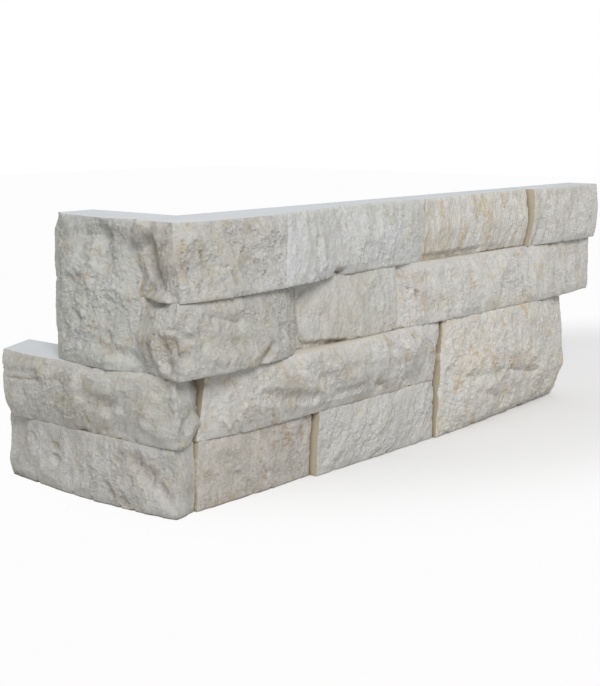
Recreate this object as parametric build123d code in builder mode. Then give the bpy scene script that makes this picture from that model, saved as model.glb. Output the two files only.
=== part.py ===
# Corner unit of split-face stone cladding: an L of sawn stone strips, glued edge to edge in courses.
# Each strip has sawn beds, ends and back, and one split face that turns outwards.
# Millimetres. The origin is the foot of the inside corner, where the two back planes meet on the floor.
# The long leg runs along +X with its split face towards -Y, and the short leg runs along +Y
# with its split face towards -X. Both backs are flat, so that the unit wraps the corner of a wall.

import os

from build123d import *

os.makedirs("parts", exist_ok=True)

# Beds of the four courses, counted up from the floor
course_height = 37.5
bed_0 = 0.0
bed_1 = bed_0 + course_height
bed_2 = bed_1 + course_height
bed_3 = bed_2 + course_height
bed_4 = bed_3 + course_height

# Reach of the legs from the inside corner: they step, so that units tooth into each other
long_leg_lower = 366.0
long_leg_upper = 394.0
short_leg_lower = 119.0
short_leg_upper = 62.0

# Butt joints along the long leg, measured from the inside corner
inside_corner = 0.0
joint_bottom = 91.0
joint_block = 206.0
joint_third_near = 68.0
joint_third_far = 158.0
joint_top_near = 45.0
joint_top_middle = 182.0
joint_top_far = 305.0

# Greatest thickness of each stone, from its sawn back to the proudest part of its split face
thick_bottom_return = 22.5
thick_second_return = 32.2
thick_tall_return = 35.5
thick_bottom_near = 16.5
thick_bottom_far = 19.0
thick_second = 29.5
thick_block = 26.4
thick_third_corner = 35.5
thick_third_middle = 22.6
thick_third_end = 26.0
thick_top_corner = 37.0
thick_top_middle = 34.0
thick_top_far = 24.3
thick_top_end = 27.0

# At the corner each course butts one leg against the other. The stone that runs through ends
# this much short of the proudest part of the face beside it.
shortfall_bottom = 2.5
shortfall_second = 4.5
shortfall_third = 1.0


def long_leg_plane(height):
    """Bed plane of the long leg: local x runs along the leg, local -y out to its split face."""
    return Plane((0, 0, height))


def short_leg_plane(height):
    """Bed plane of the short leg, with the same two directions as on the long leg."""
    return Plane((0, 0, height), x_dir=(0, 1, 0), z_dir=(0, 0, -1))


def split_stone(label, leg_plane, bed, top, start, end, thickness, face, near_end=((0, 0),)):
    """One stone between two beds and two ends, written to its own file.

    face holds the rows of the split face from the bed up. A row gives its height as a share of the
    stone, how far the near and the far end of the face fall back along the leg, and how far the face
    falls back from the full thickness at places spaced evenly between those ends. near_end holds the
    points of the near end from the face to the back: the share of the thickness that is left there,
    and how far the end falls back along the leg.
    """
    with BuildPart() as stone:
        for share, near_back, far_back, setbacks in face:
            near = start + near_back
            step = (end - far_back - near) / (len(setbacks) - 1)
            front = [(near + step * place, setback - thickness) for place, setback in enumerate(setbacks)]
            ending = [(near + fall, left * front[0][1]) for left, fall in reversed(near_end)]
            with BuildSketch(leg_plane(bed + share * (top - bed))):
                with BuildLine():
                    Polyline(*front, (end, 0), *ending, close=True)
                make_face()
        loft(ruled=True)
    stone.part.label = label
    export_step(stone.part, f"parts/{label}.step")


# Short leg: two low strips that run through the corner, and one block as tall as two courses

split_stone(
    "bottom_return_strip", short_leg_plane, bed_0, bed_1,
    start=shortfall_bottom - thick_bottom_near, end=short_leg_lower, thickness=thick_bottom_return,
    face=[
        (0.0, 2.5, 0, (7.2, 3.5, 2.5, 2.9, 5.5, 9)),
        (0.08, 0, 0, (5, 2.3, 1.3, 1.7, 3.3, 5.7)),
        (0.3, 0, 0, (6.3, 1.9, 0.5, 0.9, 2.1, 5)),
        (0.6, 0, 0, (7.9, 1.7, 0, 0.4, 1.8, 6.3)),
        (0.8, 0, 0, (7.5, 1.7, 0.2, 0.4, 1.8, 4.8)),
        (1.0, 0, 0, (6.5, 1.9, 0.7, 0.9, 2.3, 5.9)),
    ],
    near_end=((0.5, 1.2), (0, 2.5)),
)

split_stone(
    "second_return_strip", short_leg_plane, bed_1, bed_2,
    start=shortfall_second - thick_second, end=short_leg_lower, thickness=thick_second_return,
    face=[
        (0.0, 5.5, 13, (11.2, 11, 9.9, 9.4, 8.7, 5.7)),
        (0.12, 4.8, 13, (10.2, 8.6, 7.6, 7.2, 6.5, 3.7)),
        (0.35, 3.8, 13, (8.2, 5.2, 3.9, 3.8, 3.6, 2.3)),
        (0.65, 0, 13, (5.7, 2.2, 1.2, 0.8, 1.2, 2)),
        (0.85, 1.6, 13, (5.2, 1.4, 0.4, 0, 0.1, 2)),
        (1.0, 2.2, 13, (5.2, 2.3, 1.2, 1.4, 0.5, 4)),
    ],
    near_end=((0.5, 4), (0, 12)),
)

split_stone(
    "tall_return_block", short_leg_plane, bed_2, bed_4,
    start=inside_corner, end=short_leg_upper, thickness=thick_tall_return,
    face=[
        (0.0, 0, 0, (14, 7.5, 4, 4.5, 5.2, 6, 9)),
        (0.06, 0, 0, (14, 6.5, 3, 3.3, 4, 5, 8.5)),
        (0.25, 0, 0, (14, 6.5, 4, 3, 3.1, 4.5, 8)),
        (0.5, 0, 0, (14.5, 6.5, 3, 2.5, 3.1, 4.5, 8.2)),
        (0.72, 0, 0, (14, 7.5, 6.5, 4.9, 3.5, 4.5, 8.6)),
        (0.88, 0, 0, (13, 7.5, 7.2, 6, 4, 4.5, 9.5)),
        (0.95, 0, 0, (12.5, 3.5, 3, 4.3, 3.9, 4.3, 12)),
        (1.0, 0, 0, (12.5, 1, 0, 3.1, 5.5, 3.5, 13)),
    ],
)

# Long leg, bottom course and the block that spans the two lower courses

split_stone(
    "bottom_near_strip", long_leg_plane, bed_0, bed_1,
    start=inside_corner, end=joint_bottom, thickness=thick_bottom_near,
    face=[
        (0.0, 0, 0, (5.6, 5.2, 4.9, 5.6)),
        (0.15, 0, 0, (5.7, 3.9, 3.6, 5.4)),
        (0.4, 0, 0, (5.8, 2, 1.7, 4.9)),
        (0.65, 0, 0, (5.5, 0.7, 0.5, 4.3)),
        (0.85, 0, 0, (4.5, 0.3, 0.2, 3.5)),
        (1.0, 0, 0, (3.9, 0.6, 0.5, 2.9)),
    ],
)

split_stone(
    "bottom_far_strip", long_leg_plane, bed_0, bed_1,
    start=joint_bottom, end=joint_block, thickness=thick_bottom_far,
    face=[
        (0.0, 0, 0, (3.5, 4, 3.4, 3, 3.2)),
        (0.15, 0, 0, (3, 2.2, 1.7, 1.8, 3)),
        (0.45, 0, 0, (2.5, 0.6, 0, 0.6, 2.8)),
        (0.75, 0, 0, (1.7, 0.7, 0.1, 0.8, 2.8)),
        (1.0, 0, 0, (1.2, 2.2, 2.3, 2.5, 3)),
    ],
)

split_stone(
    "tall_end_block", long_leg_plane, bed_0, bed_2,
    start=joint_block, end=long_leg_lower, thickness=thick_block,
    face=[
        (0.0, 0, 0, (8.9, 10.7, 13.2, 15.4, 17.4, 19.9)),
        (0.07, 0, 0, (8.8, 8.4, 9.9, 11.3, 12.8, 15.4)),
        (0.2, 0, 0, (8.5, 5.6, 6.8, 7.9, 8.7, 13.4)),
        (0.32, 0, 0, (7.9, 3.6, 4.1, 5, 5.7, 9)),
        (0.6, 0, 0, (6.6, 1.4, 0.2, 1, 3.9, 11.2)),
        (0.85, 0, 0, (5.9, 1.4, 0, 0.8, 4.4, 13.2)),
        (1.0, 0, 0, (5.8, 2.6, 1.4, 2, 5.9, 14.6)),
    ],
)

# Long leg, second course: one strip from the corner to the block

split_stone(
    "second_near_strip", long_leg_plane, bed_1, bed_2,
    start=inside_corner, end=joint_block, thickness=thick_second,
    face=[
        (0.0, 0, 0, (16.9, 12.5, 12.3, 12.7, 12.9, 13.2, 13.7)),
        (0.2, 0, 0, (15.7, 8.9, 7.9, 8.5, 8.7, 9.9, 12.9)),
        (0.4, 0, 0, (14.1, 5.3, 3.7, 4.1, 4, 5.8, 11.9)),
        (0.65, 0, 0, (12.2, 2.9, 0.7, 1.1, 1, 2.9, 10.9)),
        (0.88, 0, 0, (10.7, 2.5, 0.1, 0.5, 1, 2.5, 10.2)),
        (1.0, 0, 0, (10.2, 3.9, 1.3, 1.7, 2.3, 3.5, 10.2)),
    ],
)

# Long leg, third course: a corner stone that runs through, a recessed stone and a long end stone

split_stone(
    "third_corner_strip", long_leg_plane, bed_2, bed_3,
    start=shortfall_third - thick_tall_return, end=joint_third_near, thickness=thick_third_corner,
    face=[
        (0.0, 4.1, 0, (4.5, 3.2, 3, 3.8, 5.5, 17)),
        (0.15, 3.5, 0, (3.5, 1.5, 1.4, 2.3, 4.5, 16.5)),
        (0.5, 0, 0, (2.5, 0, 0.3, 1.5, 4.5, 15.9)),
        (0.85, 1.5, 0, (2.5, 0.5, 0.8, 2.1, 5.7, 17.5)),
        (1.0, 2, 0, (3, 1.5, 1.8, 3.3, 7.5, 18.5)),
    ],
    near_end=((0.5, 2.5), (0, 10)),
)

split_stone(
    "third_middle_strip", long_leg_plane, bed_2, bed_3,
    start=joint_third_near, end=joint_third_far, thickness=thick_third_middle,
    face=[
        (0.0, 0, 0, (5.1, 1.6, 0.6, 2.1)),
        (0.15, 0, 0, (2.6, 0.8, 0.2, 2.1)),
        (0.5, 0, 0, (2.1, 0.4, 0, 2)),
        (0.85, 0, 0, (3.6, 1.4, 0.8, 3)),
        (1.0, 0, 0, (4.6, 2.4, 1.8, 3.8)),
    ],
)

split_stone(
    "third_end_strip", long_leg_plane, bed_2, bed_3,
    start=joint_third_far, end=long_leg_upper, thickness=thick_third_end,
    face=[
        (0.0, 0, 0, (6.6, 3.2, 2.5, 2.7, 3, 4, 9)),
        (0.08, 0, 0, (6.3, 2.1, 1.4, 1.5, 2, 3.4, 7)),
        (0.5, 0, 0, (5.5, 1, 0, 0.2, 0.8, 2.5, 6.7)),
        (0.85, 0, 0, (7.2, 3.4, 2.4, 2.6, 3, 4, 6.8)),
        (1.0, 0, 0, (8.5, 6.2, 6.4, 6.9, 6.4, 6.1, 7)),
    ],
)

# Long leg, top course: a corner stone that runs through, and three more towards the end

split_stone(
    "top_corner_strip", long_leg_plane, bed_3, bed_4,
    start=-thick_tall_return, end=joint_top_near, thickness=thick_top_corner,
    face=[
        (0.0, 3.2, 0, (3, 0.4, 0, 0.2, 1, 3.5)),
        (0.15, 3.2, 0, (3, 0.4, 0, 0.4, 1.3, 3.4)),
        (0.32, 2.8, 0, (3.4, 1, 0.4, 1, 1.8, 3.6)),
        (0.5, 0.4, 0, (3.6, 1.2, 0.7, 1.4, 1.9, 3.6)),
        (0.8, 0.3, 0, (4, 1.2, 0.6, 1.2, 1.7, 3.2)),
        (1.0, 1, 0, (5, 0.8, 0.2, 0.4, 1, 3)),
    ],
    near_end=((0.5, 2), (0, 11)),
)

split_stone(
    "top_middle_strip", long_leg_plane, bed_3, bed_4,
    start=joint_top_near, end=joint_top_middle, thickness=thick_top_middle,
    face=[
        (0.0, 0, 0, (0.5, 3.5, 12.4, 12.8, 14, 14.7)),
        (0.15, 0, 0, (0.5, 2.7, 9.8, 11, 11.8, 13.5)),
        (0.45, 0, 0, (0.4, 2.2, 8.8, 9.8, 10.2, 11.6)),
        (0.75, 0, 0, (0.2, 2.4, 9.5, 10.6, 10, 10.8)),
        (1.0, 0, 0, (0, 4, 12.1, 12.5, 10.7, 10.3)),
    ],
)

split_stone(
    "top_far_strip", long_leg_plane, bed_3, bed_4,
    start=joint_top_middle, end=joint_top_far, thickness=thick_top_far,
    face=[
        (0.0, 0, 0, (5.1, 6.1, 7.2, 7.5, 6.8)),
        (0.15, 0, 0, (4.3, 3.3, 3, 3.8, 4.8)),
        (0.5, 0, 0, (1.8, 0.3, 0, 0.8, 1.9)),
        (0.85, 0, 0, (1.1, 0.3, 0.6, 1.5, 3.3)),
        (1.0, 0, 0, (0.6, 0.9, 1.5, 2.5, 5.5)),
    ],
)

split_stone(
    "top_end_strip", long_leg_plane, bed_3, bed_4,
    start=joint_top_far, end=long_leg_upper, thickness=thick_top_end,
    face=[
        (0.0, 0, 0, (6.5, 4.5, 3.6, 5)),
        (0.12, 0, 0, (3.5, 2, 1.4, 2.6)),
        (0.5, 0, 0, (1, 0, 0.2, 1.8)),
        (0.85, 0, 0, (1.5, 0.2, 0.8, 2.6)),
        (1.0, 0, 0, (3, 1, 1.5, 3.5)),
    ],
)
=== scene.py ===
import math

import bpy
import numpy as np
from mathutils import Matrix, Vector, kdtree


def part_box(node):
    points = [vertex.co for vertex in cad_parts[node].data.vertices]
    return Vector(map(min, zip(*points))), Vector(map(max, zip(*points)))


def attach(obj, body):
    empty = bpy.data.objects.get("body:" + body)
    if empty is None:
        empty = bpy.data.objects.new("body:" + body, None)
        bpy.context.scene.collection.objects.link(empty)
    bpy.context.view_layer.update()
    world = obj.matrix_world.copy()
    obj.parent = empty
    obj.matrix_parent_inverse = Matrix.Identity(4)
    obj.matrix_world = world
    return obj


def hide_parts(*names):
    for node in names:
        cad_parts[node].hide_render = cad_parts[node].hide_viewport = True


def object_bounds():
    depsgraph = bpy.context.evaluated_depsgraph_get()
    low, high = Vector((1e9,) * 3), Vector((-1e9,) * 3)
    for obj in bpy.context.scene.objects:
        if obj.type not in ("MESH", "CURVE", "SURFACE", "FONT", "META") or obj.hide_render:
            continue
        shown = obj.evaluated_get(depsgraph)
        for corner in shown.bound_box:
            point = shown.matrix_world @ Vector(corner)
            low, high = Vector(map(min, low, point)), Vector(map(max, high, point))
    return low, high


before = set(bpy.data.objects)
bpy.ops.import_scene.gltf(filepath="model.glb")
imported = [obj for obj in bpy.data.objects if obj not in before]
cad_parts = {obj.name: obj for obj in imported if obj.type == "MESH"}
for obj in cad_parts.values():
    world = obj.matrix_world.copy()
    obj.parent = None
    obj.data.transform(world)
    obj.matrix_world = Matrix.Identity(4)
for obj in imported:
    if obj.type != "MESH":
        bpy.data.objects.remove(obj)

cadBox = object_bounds()
mm = 0.001

# Each stone starts as a rough sheet in the place of its split face, which is cut, smoothed and cut again.
cutting = {
    "roughCell": 3.2,  # mm
    "fineCuts": 5,
    "roughSmooths": 2,
    "fineSmooths": 4,
    "arrisBlend": 5.0,  # mm over which the relief turns from one face of a corner stone to the other
    "spare": 0.3,  # mm left between the highest crest and the outermost face of the whole piece
    "dentFloor": 0.45,  # mm: points this near to the floor of a dent belong to it
    "rimFrom": 2.0,  # mm in front of the back planes, where an edge starts to count as a rim
    "level": 0.01,  # mm: what differs less is level
    "sawnArea": 2.5,  # mm2: any larger facet belongs to a sawn side
    "smoothAngle": 50,  # degrees
}
legs = {
    "long": {"along": 0, "out": 1},
    "short": {"along": 1, "out": 0},
}


# Selecting by place

def readPoints(piece):
    flat = np.empty(len(piece.data.vertices) * 3, np.float32)
    piece.data.vertices.foreach_get("co", flat)
    return flat.reshape(-1, 3)


def readEdges(piece):
    ends = np.empty(len(piece.data.edges) * 2, np.int32)
    piece.data.edges.foreach_get("vertices", ends)
    return ends.reshape(-1, 2)


def readMark(piece, name):
    values = np.zeros(len(piece.data.vertices), np.float32)
    if name in piece.data.attributes:
        piece.data.attributes[name].data.foreach_get("value", values)
    return values


def writeMark(piece, name, values):
    if name not in piece.data.attributes:
        piece.data.attributes.new(name, 'FLOAT', 'POINT')
    piece.data.attributes[name].data.foreach_set("value", np.asarray(values, np.float32))


def editSelected(piece, points, edges, mode):
    mesh = piece.data
    mesh.polygons.foreach_set("select", np.zeros(len(mesh.polygons), bool))
    mesh.edges.foreach_set("select", edges)
    mesh.vertices.foreach_set("select", points)
    bpy.context.tool_settings.mesh_select_mode = mode
    bpy.ops.object.mode_set(mode='EDIT')


def editPoints(piece, points):
    editSelected(piece, points, np.zeros(len(piece.data.edges), bool), (True, False, False))


def editEdges(piece, edges):
    points = np.zeros(len(piece.data.vertices), bool)
    points[readEdges(piece)[edges].ravel()] = True
    editSelected(piece, points, edges, (False, True, False))


def objectMode():
    bpy.ops.object.mode_set(mode='OBJECT')


def edgeRuns(piece, axis):
    ends = readPoints(piece)[readEdges(piece)]
    run = np.abs(ends[:, 1] - ends[:, 0])
    return run[:, axis], run[:, 2], ends.mean(axis=1)


def openEdges(piece):
    corners = np.empty(len(piece.data.loops), np.int32)
    piece.data.loops.foreach_get("edge_index", corners)
    return np.bincount(corners, minlength=len(piece.data.edges)) == 1


def openPoints(piece):
    return np.unique(readEdges(piece)[openEdges(piece)])


def awayFrom(points, across, start, end):
    # mm from the line between two places, each given across and up in mm
    plane = points[:, [across, 2]] / mm
    run = np.subtract(end, start)
    share = np.clip((plane - start) @ run / max(run @ run, 1e-9), 0, 1)
    return np.linalg.norm(plane - start - share[:, None] * run, axis=1)


def cutEdges(piece, edges, cuts):
    if cuts > 0:
        editEdges(piece, edges)
        bpy.ops.mesh.subdivide(number_cuts=cuts)
        objectMode()


def levelFlat(axis):
    return [0 if number == axis else 1 for number in range(3)]


# The split face, from a rough grid

def startSheet(name, stone, low, high, along, out):
    rows = stone["face"]
    places = len(rows[0][3])
    bpy.ops.object.select_all(action='DESELECT')
    bpy.ops.mesh.primitive_grid_add(x_subdivisions=places - 1, y_subdivisions=len(rows) - 1, size=1)
    sheet = bpy.context.object
    sheet.name = sheet.data.name = name + "_stone"
    for index in range(len(sheet.data.vertices)):
        row, place = divmod(index, places)
        share, nearBack, farBack, stands = rows[row]
        near, far = low[along] + nearBack * mm, high[along] - farBack * mm
        target = Vector((0, 0, low.z + share * (high.z - low.z)))
        target[along] = near + (far - near) * place / (places - 1)
        target[out] = -stands[place] * mm
        editPoints(sheet, np.arange(len(sheet.data.vertices)) == index)
        bpy.ops.transform.translate(value=target - sheet.data.vertices[index].co)
        objectMode()
    return sheet


def cutRough(sheet, stone, low, high, along):
    rows = stone["face"]
    spacing = (high[along] - low[along]) / (len(rows[0][3]) - 1)
    runAlong, runUp, middle = edgeRuns(sheet, along)
    cutEdges(sheet, runAlong > runUp, round(spacing / (cutting["roughCell"] * mm)) - 1)
    for lower, upper in zip(rows, rows[1:]):
        height = (upper[0] - lower[0]) * (high.z - low.z)
        z = low.z + (lower[0] + upper[0]) / 2 * (high.z - low.z)
        runAlong, runUp, middle = edgeRuns(sheet, along)
        # the upright edges between these two rows
        band = (runUp > height * 0.9) & (np.abs(middle[:, 2] - z) < height * 0.2)
        cutEdges(sheet, band, round(height / (cutting["roughCell"] * mm)) - 1)


def upright(sheet, low, high, along, far):
    # the open edges at one end of the sheet
    runAlong, runUp, middle = edgeRuns(sheet, along)
    beyond = middle[:, along] > (low[along] + high[along]) / 2
    return openEdges(sheet) & (runUp > cutting["level"] * mm) & (beyond == far)


def drawReturn(sheet, stone, low, high, along, out):
    # a stone that runs through the corner shows its end, which is drawn back to the joint in steps
    before = len(sheet.data.vertices)
    editEdges(sheet, upright(sheet, low, high, along, False))
    left, fallen = 1, 0
    for nextLeft, fall in stone["turn"]:
        bpy.ops.mesh.extrude_region_move()
        scale = [1, 1, 1]
        scale[out] = nextLeft / left
        bpy.ops.transform.resize(value=scale, center_override=(0, 0, 0))
        shift = [0, 0, 0]
        shift[along] = (fall - fallen) * mm
        bpy.ops.transform.translate(value=shift)
        left, fallen = nextLeft, fall
    objectMode()
    writeMark(sheet, "turned", np.arange(len(sheet.data.vertices)) >= before)
    ends = readEdges(sheet)
    onReturn = readMark(sheet, "turned")[ends].any(axis=1)
    level = np.abs(np.diff(readPoints(sheet)[ends][:, :, 2], axis=1))[:, 0] < cutting["level"] * mm
    depth = -low[out] / len(stone["turn"])
    cutEdges(sheet, onReturn & level, round(depth / (cutting["roughCell"] * mm)) - 1)


def smoothFaces(sheet, out, repeat):
    turned = readMark(sheet, "turned") > 0
    for points, axis in ((~turned, out), (turned, 1 - out)):
        if points.any():
            editPoints(sheet, points)
            bpy.ops.mesh.vertices_smooth(factor=0.5, repeat=repeat, xaxis=axis == 0, yaxis=axis == 1,
                                         zaxis=False)
            objectMode()


def dent(sheet, onReturn, across, push, place):
    # the two ends of the dent's floor, across and up, its reach and depth in mm, and the form of its flank
    start, end, reach, depth, flank = place
    away = awayFrom(readPoints(sheet), across, start, end)
    away[(readMark(sheet, "turned") > 0) != onReturn] = np.inf
    shift = [0, 0, 0]
    shift[push] = depth * mm
    editPoints(sheet, away < max(cutting["dentFloor"], away.min() + cutting["level"]))
    bpy.ops.transform.translate(value=shift, use_proportional_edit=True, proportional_edit_falloff=flank,
                                proportional_size=reach * mm)
    objectMode()


def ease(value):
    value = np.clip(value, 0, 1)
    return value * value * (3 - 2 * value)


def markSheet(sheet, stone, low, high, along, out):
    # outward: the level direction that the relief stands out in; rim: mm to the nearest edge of the sheet;
    # room: mm that a crest may rise; rough: share of the relief that is kept; stain: share of its colour
    points = readPoints(sheet)
    outward = np.zeros_like(points)
    outward[:, out] = -1
    if "turn" in stone:
        shareUp = (points[:, 2] - low.z) / (high.z - low.z)
        heights = [row[0] for row in stone["face"]]
        near = low[along] + np.interp(shareUp, heights, [row[1] * mm for row in stone["face"]])
        turned = readMark(sheet, "turned")
        reach = cutting["arrisBlend"] * mm
        arris = -np.interp(shareUp, heights, [row[3][0] * mm for row in stone["face"]])
        turn = np.where(turned > 0, 0.5 + 0.5 * ease((points[:, out] - arris) / reach),
                        0.5 - 0.5 * ease((points[:, along] - near) / reach))
        outward[:, out] = turn - 1
        outward[:, along] = -turn
        outward /= np.linalg.norm(outward, axis=1)[:, None]
    edge = openPoints(sheet)
    edge = edge[points[edge, out] < -cutting["rimFrom"] * mm]
    if stone.get("joined"):  # its near end runs on into the corner stones
        edge = edge[points[edge, along] > low[along] + cutting["level"] * mm]
    nearest = kdtree.KDTree(len(edge))
    for index in edge:
        nearest.insert(points[index], int(index))
    nearest.balance()
    writeMark(sheet, "rim", [nearest.find(point)[2] / mm for point in points])
    room = np.min(points[:, :2] - np.array(cadBox[0][:2]), axis=1)
    writeMark(sheet, "room", room / mm - cutting["spare"])
    writeMark(sheet, "rough", np.where(readMark(sheet, "turned") > 0, stone.get("turnedRough", 1), 1))
    stain = np.zeros(len(points))
    for start, end, reach, strength in stone["stains"]:
        stain = np.maximum(stain, strength * ease(1 - awayFrom(points, along, start, end) / reach))
    writeMark(sheet, "stain", stain)
    sheet.data.attributes.new("outward", 'FLOAT_VECTOR', 'POINT').data.foreach_set("vector", outward.ravel())


def closeSides(sheet, stone, low, high, along, out):
    # sawn ends, then beds, then the back
    for far in (True, False):
        if far or "turn" not in stone:
            editEdges(sheet, upright(sheet, low, high, along, far))
            bpy.ops.mesh.extrude_region_move()
            bpy.ops.transform.resize(value=levelFlat(out), center_override=(0, 0, 0))
            bpy.ops.transform.resize(value=levelFlat(along), center_override=high if far else low)
            objectMode()
    for z in (low.z, high.z):
        points = readPoints(sheet)
        rim = np.zeros(len(points), bool)
        rim[openPoints(sheet)] = True
        editPoints(sheet, rim & (np.abs(points[:, 2] - z) < cutting["level"] * mm))
        bpy.ops.mesh.edge_face_add()
        objectMode()
    editEdges(sheet, openEdges(sheet))
    bpy.ops.mesh.edge_face_add()
    bpy.ops.mesh.select_all(action='SELECT')
    bpy.ops.mesh.normals_make_consistent(inside=False)
    objectMode()


# Node helpers, for the relief and the materials

def addNode(tree, kind, values=(), **settings):
    made = tree.nodes.new(kind)
    for key, value in settings.items():
        setattr(made, key, value)
    for slot, value in dict(values).items():
        if isinstance(value, bpy.types.NodeSocket):
            tree.links.new(value, made.inputs[slot])
        else:
            made.inputs[slot].default_value = value
    return made


def calc(tree, operation, *values):
    return addNode(tree, "ShaderNodeMath", enumerate(values), operation=operation).outputs[0]


def remains(tree, share):
    return calc(tree, 'SUBTRACT', 1.0, share)


def vectorCalc(tree, operation, first, second):
    slots = {0: first, "Scale" if operation == 'SCALE' else 1: second}
    return addNode(tree, "ShaderNodeVectorMath", slots, operation=operation).outputs[0]


def axes(tree, vector):
    return addNode(tree, "ShaderNodeSeparateXYZ", {0: vector}).outputs


def step(tree, value, low, high):
    return addNode(tree, "ShaderNodeMapRange", {"Value": value, "From Min": low, "From Max": high},
                   interpolation_type='SMOOTHSTEP').outputs[0]


def noise(tree, where, size, detail=4.0, roughness=0.6, out=0):
    # size in mm, result about 0 to 1; out=1 gives a vector
    values = {"Vector": where, "Scale": 1 / size, "Detail": detail, "Roughness": roughness}
    return addNode(tree, "ShaderNodeTexNoise", values).outputs[out]


def centred(tree, value, middle=0.5):
    return calc(tree, 'SUBTRACT', value, middle)


def hollows(tree, where, size):
    # round hollows with sharp brims, size in mm
    values = {"Vector": where, "Scale": 1 / size}
    return centred(tree, addNode(tree, "ShaderNodeTexVoronoi", values).outputs["Distance"], 0.45)


def grain(tree, place, seed, lean, stretch):
    # in mm, sheared so that the grain leans, and shortened upright so that it is drawn out that way
    split = axes(tree, vectorCalc(tree, 'SCALE', place, 1 / mm))
    slide = calc(tree, 'MULTIPLY', split[2], lean)
    leant = addNode(tree, "ShaderNodeCombineXYZ", {0: calc(tree, 'SUBTRACT', split[0], slide),
                    1: calc(tree, 'SUBTRACT', split[1], slide),
                    2: calc(tree, 'MULTIPLY', split[2], stretch)}).outputs[0]
    return vectorCalc(tree, 'ADD', leant, seed)


# Relief of the broken face, as one node group that every stone gives its own seed and strengths.
# Sizes, rims and heights are in mm. The strengths of waves, scallops, flakes, grit and chips are the stone's.
relief = {
    "bendSize": 14,  # pulls the large hollows out of round
    "bend": 6.0,
    "fraySize": 5,  # frays the brims of the flakes
    "fray": 1.8,
    "waveSize": 34,
    "scallopSize": 17,
    "flakeSize": 7,
    "spallSize": 2.4,
    "spalls": 0.25,  # spalls, ridges and crags are shares of the flakes
    "ridgeSize": 12,
    "ridges": -1.3,
    "cragSize": 7,
    "crags": 1.9,
    "gritSize": 1.6,
    "calmSize": 30,  # the fine relief is stronger in some stretches than in others
    "calmest": 0.75,
    "livelier": 0.5,
    "steadyRim": 6.0,  # and all of it is weaker near the sawn edges
    "steadiest": 0.4,
    "steadier": 0.6,
    "rubRim": 1.1,
    "rub": -0.45,
    "chipSize": 8,
    "chipRim": 4.0,
    "brake": 0.6,  # how softly a crest stops at the outermost face
}
# rounds of blur, against which the face stands out close by and further off
standOut = {"crest": 7, "swell": 60}
reliefInputs = {
    "Seed": "NodeSocketVector",
    "Lean": "NodeSocketFloat",
    "Stretch": "NodeSocketFloat",
    "Waves": "NodeSocketFloat",
    "Scallops": "NodeSocketFloat",
    "Flakes": "NodeSocketFloat",
    "Grit": "NodeSocketFloat",
    "Chips": "NodeSocketFloat",
}


def stored(tree, name, kind='FLOAT'):
    return addNode(tree, "GeometryNodeInputNamedAttribute", {"Name": name}, data_type=kind).outputs[0]


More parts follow.
